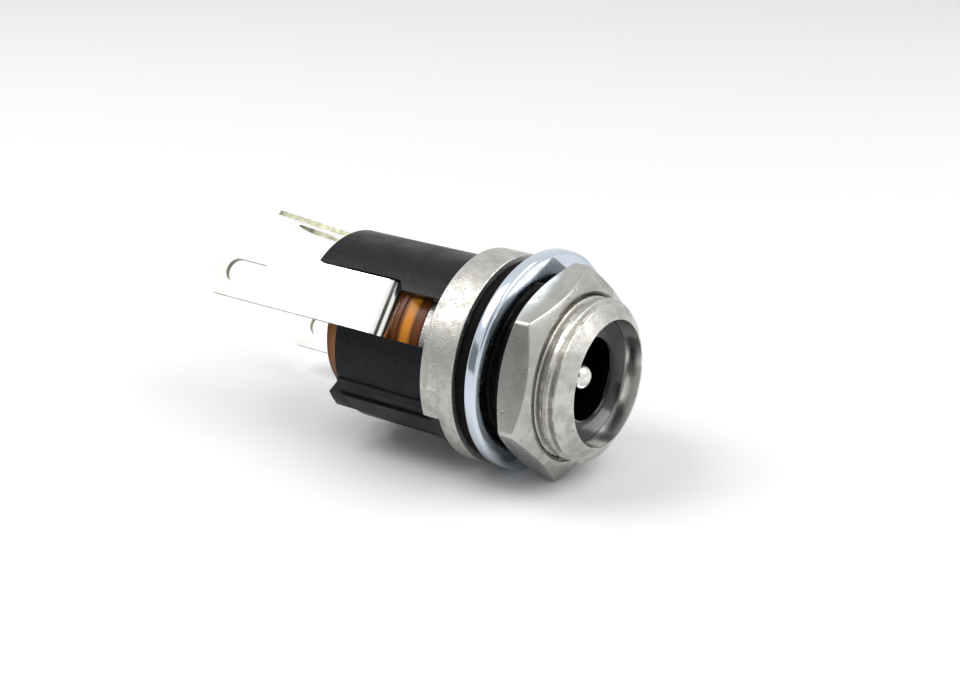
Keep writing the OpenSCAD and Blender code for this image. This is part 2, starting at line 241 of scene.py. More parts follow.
class Graph:
    """A node tree that is being built."""

    def __init__(self, tree: bpy.types.NodeTree) -> None:
        """Starts on an empty tree."""
        self.tree = tree
        tree.nodes.clear()

    def add(self, kind: str, inputs: dict[str | int, Any] | None = None,
            **settings: Any) -> bpy.types.Node:
        """Adds one node.

        Args:
            kind: the node's Blender type.
            inputs: socket name or index to a value or to another node's output.
            settings: attributes of the node.

        Returns:
            The new node.
        """
        node = self.tree.nodes.new(kind)
        node.location = (180 * len(self.tree.nodes), 0)
        for key, value in settings.items():
            setattr(node, key, value)
        for key, value in (inputs or {}).items():
            self.feed(node.inputs[key], value)
        return node

    def feed(self, socket: bpy.types.NodeSocket, value: Any) -> None:
        """Links an output to a socket, or sets the socket's value."""
        if isinstance(value, bpy.types.NodeSocket):
            self.tree.links.new(value, socket)
        elif isinstance(value, tuple) and socket.type == "RGBA" and len(value) == 3:
            socket.default_value = (*value, 1.0)
        else:
            socket.default_value = value

    def math(self, operation: str, first: Any, second: Any = 0.0,
             clamp: bool = False) -> bpy.types.NodeSocket:
        """Output of a Math node."""
        node = self.add("ShaderNodeMath", {0: first, 1: second}, operation=operation,
                        use_clamp=clamp)
        return node.outputs[0]

    def grouped(self, tree: bpy.types.NodeTree, inputs: dict[str | int, Any]) -> Any:
        """Outputs of a new node that runs a node group on the given inputs."""
        node = self.add("ShaderNodeGroup", node_tree=tree)
        for key, value in inputs.items():
            self.feed(node.inputs[key], value)
        return node.outputs

    def fit(self, value: Any, low: float, high: float, to_low: float = 0.0,
            to_high: float = 1.0) -> bpy.types.NodeSocket:
        """Output of a Map Range node that carries low..high to to_low..to_high, smoothly."""
        return self.add("ShaderNodeMapRange", {"Value": value, "From Min": low, "From Max": high,
                                               "To Min": to_low, "To Max": to_high},
                        interpolation_type="SMOOTHSTEP").outputs[0]

    def blend(self, share: Any, first: Any, second: Any) -> bpy.types.NodeSocket:
        """Output of a colour mix: first where the share is 0, second where it is 1."""
        node = self.add("ShaderNodeMix", data_type="RGBA")
        for index, value in ((0, share), (6, first), (7, second)):
            self.feed(node.inputs[index], value)
        return node.outputs[2]

    def noise(self, vector: Any, scale: Any, detail: float = 3.0,
              roughness: float = 0.55) -> bpy.types.NodeSocket:
        """Value of a Noise texture, near 0.5 on average."""
        return self.add("ShaderNodeTexNoise", {"Vector": vector, "Scale": scale, "Detail": detail,
                                               "Roughness": roughness}).outputs[0]

    def bump(self, height: Any) -> bpy.types.NodeSocket:
        """Normal of a surface raised by a height in millimetres."""
        node = self.add("ShaderNodeBump", {"Height": height, "Distance": MM, "Strength": 1.0})
        return node.outputs[0]


def group(name: str, inputs: dict[str, tuple[str, float]],
          outputs: dict[str, str]) -> tuple[Graph, Any, Any]:
    """Starts a shader node group.

    Args:
        name: the group's name.
        inputs: socket name to its kind and default value.
        outputs: socket name to its kind.

    Returns:
        The group's graph, the outputs of its input node and the inputs of its output node.
    """
    tree = bpy.data.node_groups.new(name, "ShaderNodeTree")
    graph = Graph(tree)
    for label, (kind, value) in inputs.items():
        socket = tree.interface.new_socket(label, in_out="INPUT", socket_type=kind)
        if kind == "NodeSocketFloat":
            socket.default_value = value
    for label, kind in outputs.items():
        tree.interface.new_socket(label, in_out="OUTPUT", socket_type=kind)
    source = graph.add("NodeGroupInput")
    sink = graph.add("NodeGroupOutput")
    return graph, source.outputs, sink.inputs


FLOAT, VECTOR = "NodeSocketFloat", "NodeSocketVector"


class Effects:
    """The shader node groups that the finishes share, each built once.

    A noise scale is in cycles a metre, and an effect's own size in millimetres divides it.
    """

    DRIFT_SCALE = 400.0
    FINE_SCALE = 1000.0
    CLOUD_SCALE = 120.0
    PATCH_SCALE = 350.0
    CONVEX = (0.505, 0.57)
    UNBROKEN = (0.35, 0.6)
    CLOUDED = (0.3, 0.7)
    PIT_EDGE = (0.28, 0.12)

    def __init__(self) -> None:
        """Builds the groups."""
        self.polar = self._polar()
        self.turned = self._turned()
        self.grain = self._grain()
        self.wear = self._wear()
        self.pits = self._pits()

    @staticmethod
    def _polar() -> bpy.types.NodeTree:
        """Place along the axis and distance from it, in millimetres, and the share of a turn."""
        graph, source, sink = group("around the axis", {"Vector": (VECTOR, 0)},
                                    {"Along": FLOAT, "Radius": FLOAT, "Turn": FLOAT})
        axes = graph.add("ShaderNodeSeparateXYZ", {0: source["Vector"]}).outputs
        square = graph.math("ADD", graph.math("MULTIPLY", axes[1], axes[1]),
                            graph.math("MULTIPLY", axes[2], axes[2]))
        graph.feed(sink["Along"], graph.math("DIVIDE", axes[0], MM))
        graph.feed(sink["Radius"], graph.math("DIVIDE", graph.math("SQRT", square), MM))
        angle = graph.math("ARCTAN2", axes[2], axes[1])
        graph.feed(sink["Turn"], graph.math("DIVIDE", angle, TURN))
        return graph.tree

    def _turned(self) -> bpy.types.NodeTree:
        """Fine rings left by a lathe tool: noise over the place along the axis and the radius."""
        sockets = {"Vector": (VECTOR, 0), "Pitch": (FLOAT, 0.1), "Wander": (FLOAT, 0.1)}
        graph, source, sink = group("turning marks", sockets, {"Height": FLOAT})
        polar = graph.grouped(self.polar, {"Vector": source["Vector"]})
        waver = graph.noise(source["Vector"], self.DRIFT_SCALE, 1.0)
        drift = graph.math("MULTIPLY", waver, source["Wander"])
        along = graph.math("ADD", polar["Along"], drift)
        radius = graph.math("ADD", polar["Radius"], drift)
        place = graph.add("ShaderNodeCombineXYZ", {0: along, 1: radius}).outputs[0]
        scale = graph.math("DIVIDE", 1.0, source["Pitch"])
        graph.feed(sink["Height"], graph.noise(place, scale, 3.0, 0.6))
        return graph.tree

    def _grain(self) -> bpy.types.NodeTree:
        """Cast, etched or moulded skin: fine noise plus broad noise, which is also a mask."""
        sockets = {"Vector": (VECTOR, 0), "Size": (FLOAT, 0.1), "Broad": (FLOAT, 0.3)}
        graph, source, sink = group("skin", sockets, {"Height": FLOAT, "Cloud": FLOAT})
        fine_scale = graph.math("DIVIDE", self.FINE_SCALE, source["Size"])
        broad_scale = graph.math("DIVIDE", self.CLOUD_SCALE, source["Size"])
        fine = graph.noise(source["Vector"], fine_scale, 3.0, 0.6)
        broad = graph.noise(source["Vector"], broad_scale, 2.0, 0.5)
        share = graph.math("MULTIPLY", broad, source["Broad"])
        graph.feed(sink["Height"], graph.math("ADD", fine, share))
        graph.feed(sink["Cloud"], graph.fit(broad, *self.CLOUDED))
        return graph.tree

    def _wear(self) -> bpy.types.NodeTree:
        """Mask of rubbed edges: convex places from the mesh's pointiness, broken up by noise."""
        sockets = {"Vector": (VECTOR, 0), "Size": (FLOAT, 0.3), "Amount": (FLOAT, 1.0)}
        graph, source, sink = group("rubbed edges", sockets, {"Mask": FLOAT})
        pointed = graph.add("ShaderNodeNewGeometry").outputs["Pointiness"]
        convex = graph.fit(pointed, *self.CONVEX)
        scale = graph.math("DIVIDE", self.FINE_SCALE, source["Size"])
        breaks = graph.fit(graph.noise(source["Vector"], scale, 2.0), *self.UNBROKEN)
        both = graph.math("MULTIPLY", convex, breaks)
        graph.feed(sink["Mask"], graph.math("MULTIPLY", both, source["Amount"], True))
        return graph.tree

    def _pits(self) -> bpy.types.NodeTree:
        """Small scattered pits: the inside of cells near their points, where noise allows them."""
        sockets = {"Vector": (VECTOR, 0), "Size": (FLOAT, 0.2), "Share": (FLOAT, 0.5)}
        graph, source, sink = group("pits", sockets, {"Mask": FLOAT})
        scale = graph.math("DIVIDE", self.FINE_SCALE, source["Size"])
        cells = graph.add("ShaderNodeTexVoronoi", {"Vector": source["Vector"], "Scale": scale})
        near = graph.fit(cells.outputs["Distance"], *self.PIT_EDGE)
        patch_scale = graph.math("DIVIDE", self.PATCH_SCALE, source["Size"])
        patches = graph.noise(source["Vector"], patch_scale, 1.0)
        allowed = graph.math("LESS_THAN", patches, source["Share"])
        graph.feed(sink["Mask"], graph.math("MULTIPLY", near, allowed))
        return graph.tree


# ---------------------------------------------------------------- finishes


@dataclass(frozen=True)
class Plating:
    """Plated or bare metal.

    Its colour drifts between two tones, its roughness follows the skin's clouds, and its height
    is the sum of turning marks, skin and pits.
    """

    name: str
    tone: Colour
    dull_tone: Colour
    smooth: float
    rough: float
    skin_size: float = 0.12
    skin_height: float = 0.0
    turned_pitch: float = 0.1
    turned_height: float = 0.0
    pit_size: float = 0.3
    pit_height: float = 0.0
    pit_share: float = 0.45
    wear: float = 0.6
    cloud_share: float = 0.8
    pit_tint: float = 0.35
    pit_shade: float = 0.5
    edge_gain: float = 1.12
    edge_polish: float = 0.4

    def material(self, effects: Effects) -> bpy.types.Material:
        """Builds the material."""
        made, graph, place = blank(self.name)
        skin = graph.grouped(effects.grain, {"Vector": place, "Size": self.skin_size})
        mask = graph.grouped(effects.wear, {"Vector": place, "Amount": self.wear})["Mask"]
        pits = graph.grouped(effects.pits, {"Vector": place, "Size": self.pit_size,
                                            "Share": self.pit_share})["Mask"]
        turned = graph.grouped(effects.turned, {"Vector": place, "Pitch": self.turned_pitch})
        cloud = skin["Cloud"]
        share = graph.math("MULTIPLY", cloud, self.cloud_share)
        colour = graph.blend(share, self.tone, self.dull_tone)
        if self.pit_height:
            share = graph.math("MULTIPLY", pits, self.pit_tint)
            dark = tuple(self.pit_shade * part for part in self.dull_tone)
            colour = graph.blend(share, colour, dark)
        bright = tuple(min(1.0, self.edge_gain * part) for part in self.tone)
        colour = graph.blend(mask, colour, bright)
        spread = graph.math("MULTIPLY", cloud, self.rough - self.smooth)
        rough = graph.math("ADD", self.smooth, spread)
        polish = graph.math("MULTIPLY", mask, self.edge_polish * self.smooth)
        rough = graph.math("SUBTRACT", rough, polish)
        height = graph.math("ADD", graph.math("MULTIPLY", skin["Height"], self.skin_height),
                            graph.math("MULTIPLY", turned["Height"], self.turned_height))
        height = graph.math("SUBTRACT", height, graph.math("MULTIPLY", pits, self.pit_height))
        finish(graph, {"Base Color": colour, "Roughness": rough, "Normal": graph.bump(height),
                       "Metallic": 1.0})
        return made


@dataclass(frozen=True)
class Moulding:
    """Black moulded plastic or rubber, with paler rubbed edges."""

    name: str
    tone: Colour
    edge_tone: Colour
    smooth: float
    rough: float
    skin_size: float = 0.15
    skin_height: float = 0.004
    wear: float = 0.5
    shine: float = 0.3
    cloud_gain: float = 1.35

    def material(self, effects: Effects) -> bpy.types.Material:
        """Builds the material."""
        made, graph, place = blank(self.name)
        skin = graph.grouped(effects.grain, {"Vector": place, "Size": self.skin_size})
        mask = graph.grouped(effects.wear, {"Vector": place, "Amount": self.wear})["Mask"]
        cloud = skin["Cloud"]
        tone = graph.blend(cloud, self.tone, tuple(self.cloud_gain * part for part in self.tone))
        colour = graph.blend(mask, tone, self.edge_tone)
        spread = graph.math("MULTIPLY", cloud, self.rough - self.smooth)
        rough = graph.math("ADD", self.smooth, spread)
        height = graph.math("MULTIPLY", skin["Height"], self.skin_height)
        finish(graph, {"Base Color": colour, "Roughness": rough, "Normal": graph.bump(height),
                       "Specular IOR Level": self.shine})
        return made


@dataclass(frozen=True)
class Laminate:
    """Phenolic board: resin with paper plies across the axis, and a painted highlight strip round
    its rim.
    """

    name: str
    tone: Colour
    ply_tone: Colour
    # The next four fields set the painted highlight strip round the rim: its tone, its middle along
    # the axis, its half width and the share of it that is solid.
    painted_highlight_tone: Colour
    painted_highlight_at: float = 0.0
    painted_highlight_half: float = 1.0
    painted_highlight_core: float = 0.35
    ply: float = 0.12
    ply_drift: float = 0.25
    drift_scale: float = 500.0
    ply_range: tuple[float, float] = (0.38, 0.62)
    ply_height: float = 0.006
    fibre_scale: float = 9000.0
    fibre_height: float = 0.003
    smooth: float = 0.24
    rough: float = 0.4
    shine: float = 0.25

    def material(self, effects: Effects) -> bpy.types.Material:
        """Builds the material."""
        made, graph, place = blank(self.name)
        along = graph.grouped(effects.polar, {"Vector": place})["Along"]
        drift = graph.math("MULTIPLY", graph.noise(place, self.drift_scale, 2.0), self.ply_drift)
        layer = graph.add("ShaderNodeCombineXYZ", {0: graph.math("ADD", along, drift)}).outputs[0]
        plies = graph.noise(layer, 1.0 / self.ply, 2.0)
        colour = graph.blend(graph.fit(plies, *self.ply_range), self.tone, self.ply_tone)
        # Painted highlight: a strip round the rim, full within the core and fading out at the half
        # width.
        off = graph.math("ABSOLUTE", graph.math("SUBTRACT", along, self.painted_highlight_at))
        painted_highlight_share = graph.fit(off, self.painted_highlight_half, self.painted_highlight_core * self.painted_highlight_half)
        colour = graph.blend(painted_highlight_share, colour, self.painted_highlight_tone)
        fibres = graph.noise(place, self.fibre_scale, 3.0, 0.6)
        spread = graph.math("MULTIPLY", fibres, self.rough - self.smooth)
        rough = graph.math("ADD", self.smooth, spread)
        height = graph.math("ADD", graph.math("MULTIPLY", fibres, self.fibre_height),
                            graph.math("MULTIPLY", plies, self.ply_height))
        finish(graph, {"Base Color": colour, "Roughness": rough, "Normal": graph.bump(height),
                       "Specular IOR Level": self.shine})
        return made


def blank(name: str) -> tuple[bpy.types.Material, Graph, bpy.types.NodeSocket]:
    """Starts a material: returns it, its empty graph and its Object coordinates."""
    made = bpy.data.materials.new(name)
    made.use_nodes = True
    graph = Graph(made.node_tree)
    return made, graph, graph.add("ShaderNodeTexCoord").outputs["Object"]


def finish(graph: Graph, sockets: dict[str, Any]) -> None:
    """Ends a material's graph in a Principled shader with the given sockets."""
    shader = graph.add("ShaderNodeBsdfPrincipled", sockets)
    graph.add("ShaderNodeOutputMaterial", {"Surface": shader.outputs[0]})


class Finish(Enum):
    """The record's material slots with their finishes, and the finishes of further faces.

    The further ones are frosted_flange, the thread by the nut darkened as painted shade, the
    counterbore made smoother and given a painted highlight, and sheared_edge; a piece takes them
    beside its slot's own.
    """

    plated_bush = Plating("plated bush", (0.56, 0.545, 0.51), (0.36, 0.35, 0.32), 0.2, 0.4,
                          skin_size=0.11, skin_height=0.02, turned_pitch=0.05, turned_height=0.006,
                          pit_size=0.3, pit_height=0.02, pit_share=0.46, wear=1.0)
    frosted_flange = Plating("frosted flange", (0.52, 0.505, 0.465), (0.34, 0.33, 0.30), 0.3, 0.46,
                             skin_size=0.1, skin_height=0.03, pit_size=0.24, pit_height=0.03,
                             pit_share=0.5, wear=1.0)
    # Painted shade: the thread between the washer and the nut is darkened to near black for the
    # shadow in that gap.
    painted_shade_thread = Plating("thread in painted shade", (0.05, 0.048, 0.045), (0.02, 0.02, 0.018), 0.4, 0.6,
                           skin_size=0.3, skin_height=0.01, wear=0.4)
    # Partly real, partly painted highlight: the counterbore has a smoother turned finish, and its
    # tone is raised well above the bush's to paint the light that the mouth catches.
    smooth_bore_painted_highlight = Plating("smooth bore painted highlight", (0.80, 0.79, 0.77), (0.66, 0.65, 0.62), 0.1, 0.22,
                          skin_size=0.5, skin_height=0.004, turned_pitch=0.08,
                          turned_height=0.004, wear=0.3)
    satin_nickel = Plating("satin nickel", (0.48, 0.47, 0.44), (0.36, 0.35, 0.325), 0.22, 0.36,
                           skin_size=0.16, skin_height=0.007, pit_size=0.5, pit_height=0.01,
                           pit_share=0.4, wear=1.0)
    zinc_steel = Plating("bright zinc", (0.62, 0.68, 0.75), (0.50, 0.56, 0.63), 0.07, 0.15,
                         skin_size=0.6, skin_height=0.004, wear=0.3)
    black_rubber = Moulding("black rubber", (0.0015, 0.0015, 0.0015), (0.004, 0.004, 0.004),
                            0.6, 0.75, wear=0.2, shine=0.1)
    black_gloss = Moulding("black gloss", (0.001, 0.001, 0.001), (0.004, 0.004, 0.004), 0.1, 0.2,
                           skin_height=0.001, wear=0.2, shine=0.35)
    black_moulding = Moulding("black moulding", (0.0016, 0.0016, 0.0024), (0.014, 0.014, 0.017),
                              0.34, 0.5, skin_size=0.25, skin_height=0.012, wear=0.7, shine=0.16)
    # The amber rings carry a strong painted highlight strip at -6.25, and the brown disc carries a
    # faint one at -12.3.
    amber_phenolic = Laminate("amber phenolic", (0.20, 0.055, 0.006), (0.10, 0.026, 0.004),
                              (0.74, 0.27, 0.025), painted_highlight_at=-6.25, painted_highlight_half=0.6)
    brown_phenolic = Laminate("brown phenolic", (0.20, 0.07, 0.018), (0.12, 0.04, 0.012),
                              (0.26, 0.095, 0.02), painted_highlight_at=-12.3, painted_highlight_half=0.9)
    tinned_contact = Plating("tinned contact", (0.90, 0.89, 0.85), (0.84, 0.83, 0.79), 0.12, 0.2,
                             skin_size=0.5, skin_height=0.003, wear=0.2)
    sheared_edge = Plating("sheared edge", (0.34, 0.33, 0.24), (0.22, 0.215, 0.16), 0.34, 0.5,
                           skin_size=0.12, skin_height=0.01, wear=0.5)
    bright_pin = Plating("bright pin", (0.80, 0.79, 0.76), (0.66, 0.65, 0.62), 0.1, 0.18,
                         turned_pitch=0.06, turned_height=0.003, wear=0.2)


class Dresser:
    """Puts finishes on pieces and ties the pieces to the frame."""

    def __init__(self, frame: dict[str, Any]) -> None:
        """Builds the shared effects and every finish's material."""
        self.frame = frame
        effects = Effects()
        self.materials = {choice: choice.value.material(effects) for choice in Finish}

    def dress(self, piece: bpy.types.Object, node: str, slot: Finish, *others: Finish) -> None:
        """Gives a piece its finishes and lets it stand for a CAD node.

        Args:
            piece: the new piece.
            node: the CAD node that it stands for.
            slot: the finish of the record's slot.
            others: finishes of the mesh's further material numbers.
        """
        for choice in (slot, *others):
            piece.data.materials.append(self.materials[choice])
        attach(piece, "root")
        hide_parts(node)
        LOG.info("%s stands for %s: %d faces", piece.name, node, len(piece.data.polygons))

    def repaint(self, node: str, slot: Finish) -> None:
        """Gives a CAD node that stays its finish."""
        data = self.frame["nodes"][node].data
        data.materials.clear()
        data.materials.append(self.materials[slot])
        LOG.info("%s keeps its solid", node)


# ---------------------------------------------------------------- the jack


@dataclass
class Bush:
    """Turned bush: threaded barrel, mouth cone, counterbore, flange, cup and inner spigot."""

    crest_r: float = 6.0
    thread_depth: float = 0.42
    pitch: float = 1.0
    crest_share: float = 0.36
    root_share: float = 0.12
    crest_phase: float = 0.58
    thread_end: float = 7.35
    # End of the painted shade on the thread, a little inside the nut.
    gap_shade_end_x: float = 3.4
    mouth_x: float = 8.2
    rim_r: float = 4.76
    bore_r: float = 4.7
    flange_r: float = 7.9
    web_x: float = -1.4
    cup_x: float = -2.8
    cup_r: float = 7.05
    spigot_r: float = 5.5
    spigot_x: float = -4.9
    notch: tuple[float, float] = (-70.0, -18.0)
    notch_edge_deg: float = 0.05
    notch_below_web: float = 0.02
    edges: tuple[float, ...] = (0.02, 0.16, 0.14, 0.08, 0.02, 0.02, 0.08, 0.05)
    lip: tuple[float, float] = (0.06, 0.02)
    steps: int = 240
    fine_x: float = 5.6
    coarse_x: float = 5.56
    first_x: float = 0.12
    rows: tuple[int, int] = (84, 96)
    run_out: tuple[float, float] = (0.15, 0.5)
    straight_share: float = 0.35
    face_x: float = 0.005
    wall: float = 1.0
    bore_band: float = 0.03

    def barrel(self, phi: np.ndarray) -> np.ndarray:
        """Outline of the barrel from the mouth to the flange, for each angle.

        The radius is the lesser of the mouth's cone and the thread. The thread's radius falls
        from its crest by the depth times a rounded trapezoid wave of the place along the axis
        less the share of the turn, and it fades out near the flange.

        Args:
            phi: angles about the axis, in radians.

        Returns:
            (x, r) pairs shaped (angles, points, 2).
        """
        x = np.concatenate([np.linspace(self.mouth_x, self.fine_x, self.rows[0]),
                            np.linspace(self.coarse_x, self.first_x, self.rows[1])])
        phase = (x[None, :] / self.pitch - self.crest_phase - phi[:, None] / TURN) % 1.0
        off = np.minimum(phase, 1.0 - phase)
        flank = 0.5 * (1.0 - self.crest_share - self.root_share)
        wave = np.clip((off - 0.5 * self.crest_share) / flank, 0.0, 1.0)
        smoothed = wave * wave * (3.0 - 2.0 * wave)
        wave = self.straight_share * wave + (1.0 - self.straight_share) * smoothed
        fade = np.clip((x - self.run_out[0]) / self.run_out[1], 0.0, 1.0)
        thread = self.crest_r - self.thread_depth * wave * fade
        slope = (self.crest_r - self.rim_r) / (self.mouth_x - self.thread_end)
        cone = self.rim_r + (self.mouth_x - x) * slope
        radius = np.minimum(thread, cone[None, :])
        return np.stack([np.broadcast_to(x, radius.shape), radius], axis=-1)

    def build(self) -> bpy.types.Object:
        """Builds the bush as one closed turned shell, with the notch cut out of the cup's wall."""
        phi = around(self.steps, [side + step for side in self.notch
                                  for step in (-self.notch_edge_deg, self.notch_edge_deg)])
        turned = np.degrees(phi)
        turned = np.where(turned > 180.0, turned - 360.0, turned)
        open_side = (turned > self.notch[0]) & (turned < self.notch[1])
        rear = np.where(open_side, self.web_x - self.notch_below_web, self.cup_x)
        corners = np.zeros((len(phi), 8, 2))
        corners[:, 0] = (0.0, self.crest_r)
        corners[:, 1] = (0.0, self.flange_r)
        corners[:, 2] = np.stack([rear, np.full_like(rear, self.flange_r)], axis=-1)
        corners[:, 3] = np.stack([rear, np.full_like(rear, self.cup_r)], axis=-1)
        corners[:, 4] = (self.web_x, self.cup_r)
        corners[:, 5] = (self.web_x, self.spigot_r)
        corners[:, 6] = (self.spigot_x, self.spigot_r)
        corners[:, 7] = (self.spigot_x, self.bore_r)
        flange = soften(corners, self.edges, closed=False)
        mouth = np.array([[self.mouth_x - self.lip[0], self.bore_r],
                          [self.mouth_x, self.bore_r + self.lip[1]]])
        mouth = np.broadcast_to(mouth, (len(phi), 2, 2))
        outline = np.concatenate([self.barrel(phi), flange, mouth], axis=1)
        piece = lathe("bush_shell", phi, outline, crease_deg=33.0)
        self.number_faces(piece)
        return piece

    def number_faces(self, piece: bpy.types.Object) -> None:
        """Numbers the faces: 0 barrel, 1 flange and cup, 2 thread under the nut (painted shade), 3
        counterbore (painted highlight).
        """
        mesh = piece.data
        middle = np.empty(len(mesh.polygons) * 3)
        mesh.polygons.foreach_get("center", middle)
        middle = middle.reshape(-1, 3) / MM
        radius = np.hypot(middle[:, 1], middle[:, 2])
        ahead, along = middle[:, 0] >= self.face_x, middle[:, 0]
        frosted = ~ahead & (radius > self.crest_r)
        # Painted shade: the thread from the flange to just inside the nut gets the near-black
        # finish.
        gap_shade = ahead & (along < self.gap_shade_end_x) & (radius > self.crest_r - self.wall)
        # Painted highlight: the counterbore gets the brighter metal tone.
        bore = (radius < self.bore_r + self.bore_band) & (along > 0.0)
        number = np.select([frosted, gap_shade, bore], [1, 2, 3], 0)
        mesh.polygons.foreach_set("material_index", number.astype(np.int32))


@dataclass
class HexNut:
    """Hexagon nut, chamfered on both faces."""

    across_flats: float = 14.0
    rear_x: float = 3.1
    thick: float = 2.8
    face_r: float = 6.6
    bore_r: float = 6.06
    sink: float = 0.25
    slope: float = math.tan(math.radians(30.0))
    corner_deg: float = 44.6
    corner_cut: float = 0.06
    corner_steps: tuple[float, ...] = (-3, -2, -1.2, -0.6, 0, 0.6, 1.2, 2, 3)
    sharpness: float = 36.0
    bore_land: float = 1.0
    edges: tuple[float, ...] = (0.03, 0.03, 0.12, 0.09, 0.09, 0.12, 0.03, 0.03, 0.0, 0.0)

    def hexagon(self, phi: np.ndarray) -> np.ndarray:
        """Radius of the hexagon, its corners slightly rounded.

        It is the inner radius over the cosine of the angle from the middle of the nearest flat,
        soft-limited by minus log of the sum of exponentials to just under the corner's radius.

        Args:
            phi: angles about the axis, in radians.

        Returns:
            One radius an angle.
        """
        sixth = TURN / 6.0
        off = (phi - math.radians(self.corner_deg)) % sixth - sixth / 2.0
        flat = self.across_flats / 2.0 / np.cos(off)
        limit = self.across_flats / 2.0 / math.cos(sixth / 2.0) - self.corner_cut
        return limit - np.log(np.exp(-self.sharpness * (flat - limit)) + 1.0) / self.sharpness

    def build(self) -> bpy.types.Object:
        """Builds the nut: a chamfered profile whose outer radius follows the hexagon."""
        phi = around(180, [self.corner_deg + 60.0 * k + step for k in range(6)
                           for step in self.corner_steps])
        outer = self.hexagon(phi)
        front, rear = self.rear_x + self.thick, self.rear_x
        fall = np.maximum(outer - self.face_r, 0.0) * self.slope
        corner = np.zeros((len(phi), 10, 2))
        corner[:, 0] = (rear + self.sink, self.bore_r)
        corner[:, 1] = (rear, self.bore_r + self.sink)
        corner[:, 2] = (rear, self.face_r)
        corner[:, 3] = np.stack([rear + fall, outer], axis=-1)
        corner[:, 4] = np.stack([front - fall, outer], axis=-1)
        corner[:, 5] = (front, self.face_r)
        corner[:, 6] = (front, self.bore_r + self.sink)
        corner[:, 7] = (front - self.sink, self.bore_r)
        corner[:, 8] = (front - self.bore_land, self.bore_r)
        corner[:, 9] = (rear + self.bore_land, self.bore_r)
        return lathe("nut_shell", phi, soften(corner, self.edges), crease_deg=28.0)


@dataclass
class RingWasher:
    """Loose ring washer with rounded edges, off centre and leaning."""

    outer_r: float = 8.3
    hole_r: float = 6.6
    thick: float = 1.05
    edge: float = 0.34
    hole_edge: float = 0.1
    rear_x: float = 1.59
    shift: float = 0.46
    shift_deg: float = 64.0
    turn_deg: float = 25.0
    lean_deg: float = 3.6

    def build(self) -> bpy.types.Object:
        """Builds the ring and puts it in its leaning place."""
        corners = np.array([[0.0, self.hole_r], [0.0, self.outer_r],
                            [self.thick, self.outer_r], [self.thick, self.hole_r]])
        outline = soften(corners, [self.hole_edge, self.edge, self.edge, self.hole_edge], 7)
        lean = Matrix.Rotation(-math.radians(self.lean_deg), 3, "Z")
        turn = Matrix.Rotation(math.radians(self.turn_deg), 3, "X") @ lean
        where = math.radians(self.shift_deg)
        centre = [self.rear_x, self.shift * math.cos(where), self.shift * math.sin(where)]
        place = np.column_stack([np.array(turn), centre])
        return lathe("washer_ring", around(200), outline, place=place)


@dataclass
class Seals:
    """The rubber gasket in front of the flange and the black liner inside the mouth."""

    gasket_r: float = 7.45
    gasket_hole_r: float = 6.12
    gasket_thick: float = 0.9
    liner_r: float = 4.68
    plug_r: float = 3.0
    liner_front: float = 6.7
    liner_rear: float = 1.1
    gasket_edges: tuple[float, ...] = (0.05, 0.1, 0.15, 0.05)
    liner_edges: tuple[float, ...] = (0.1, 0.1, 0.08, 0.35)

    def gasket(self) -> bpy.types.Object:
        """Builds the gasket with soft edges."""
        corners = np.array([[0.0, self.gasket_hole_r], [0.0, self.gasket_r],
                            [self.gasket_thick, self.gasket_r],
                            [self.gasket_thick, self.gasket_hole_r]])
        return lathe("gasket_ring", around(144), soften(corners, self.gasket_edges))

    def liner(self) -> bpy.types.Object:
        """Builds the liner with a rounded lead into the plug's bore."""
        corners = np.array([[self.liner_rear, self.plug_r], [self.liner_rear, self.liner_r],
                            [self.liner_front, self.liner_r], [self.liner_front, self.plug_r]])
        return lathe("liner_sleeve", around(144), soften(corners, self.liner_edges, 6))


@dataclass
class Stack:
    """The two phenolic rings of the window and the centre pin."""

    ring_r: float = 5.5
    hole_r: float = 3.8
    hole_edge: float = 0.02
    pin_r: float = 1.05
    front_ring: tuple[float, float] = (-7.0, -4.9)
    thin_ring: tuple[float, float] = (-7.6, -7.0)
    collar: tuple[float, float] = (-8.8, -8.0)
    collar_r: float = 1.9
    peen: tuple[float, float] = (-14.2, -13.7)
    peen_r: float = 1.7
    peen_shoulder: tuple[float, float] = (0.25, 0.05)
    peen_slope: float = 0.6
    tip_x: float = 6.6

    def ring(self, name: str, span: tuple[float, float], edge: float) -> bpy.types.Object:
        """Builds one ring with soft edges.

        Args:
            name: the piece's name.
            span: lowest and highest place along the axis.
            edge: reach of the rounded edges.

        Returns:
            The new object.
        """
        low, high = span
        corners = np.array([[low, self.hole_r], [low, self.ring_r],
                            [high, self.ring_r], [high, self.hole_r]])
        edges = [self.hole_edge, edge, edge, self.hole_edge]
        return lathe(name, around(144), soften(corners, edges))

    def pin(self) -> bpy.types.Object:
        """Builds the pin: a quarter-circle dome, the shank, the collar and the peened head."""
        s = np.linspace(0.0, math.pi / 2.0, 14)
        dome_x = self.tip_x - self.pin_r + self.pin_r * np.cos(s)
        dome = np.stack([dome_x, self.pin_r * np.sin(s)], axis=-1)
        low, high = self.collar
        end, start = self.peen
        shank = np.array([[high, self.pin_r], [high, self.collar_r],
                          [low, self.collar_r], [low, self.pin_r],
                          [start, self.pin_r], [start, self.peen_r],
                          [end + self.peen_shoulder[0], self.peen_r - self.peen_shoulder[1]],
                          [end, self.peen_r - self.peen_slope], [end, 0.0]])
        return lathe("pin_turned", around(72), np.concatenate([dome, shank]), closed=False)


@dataclass(frozen=True)
class Lug:
    """One contact: its CAD node, its piece's name, its angle and its bend's place."""

    node: str
    name: str
    deg: float
    bend_x: float


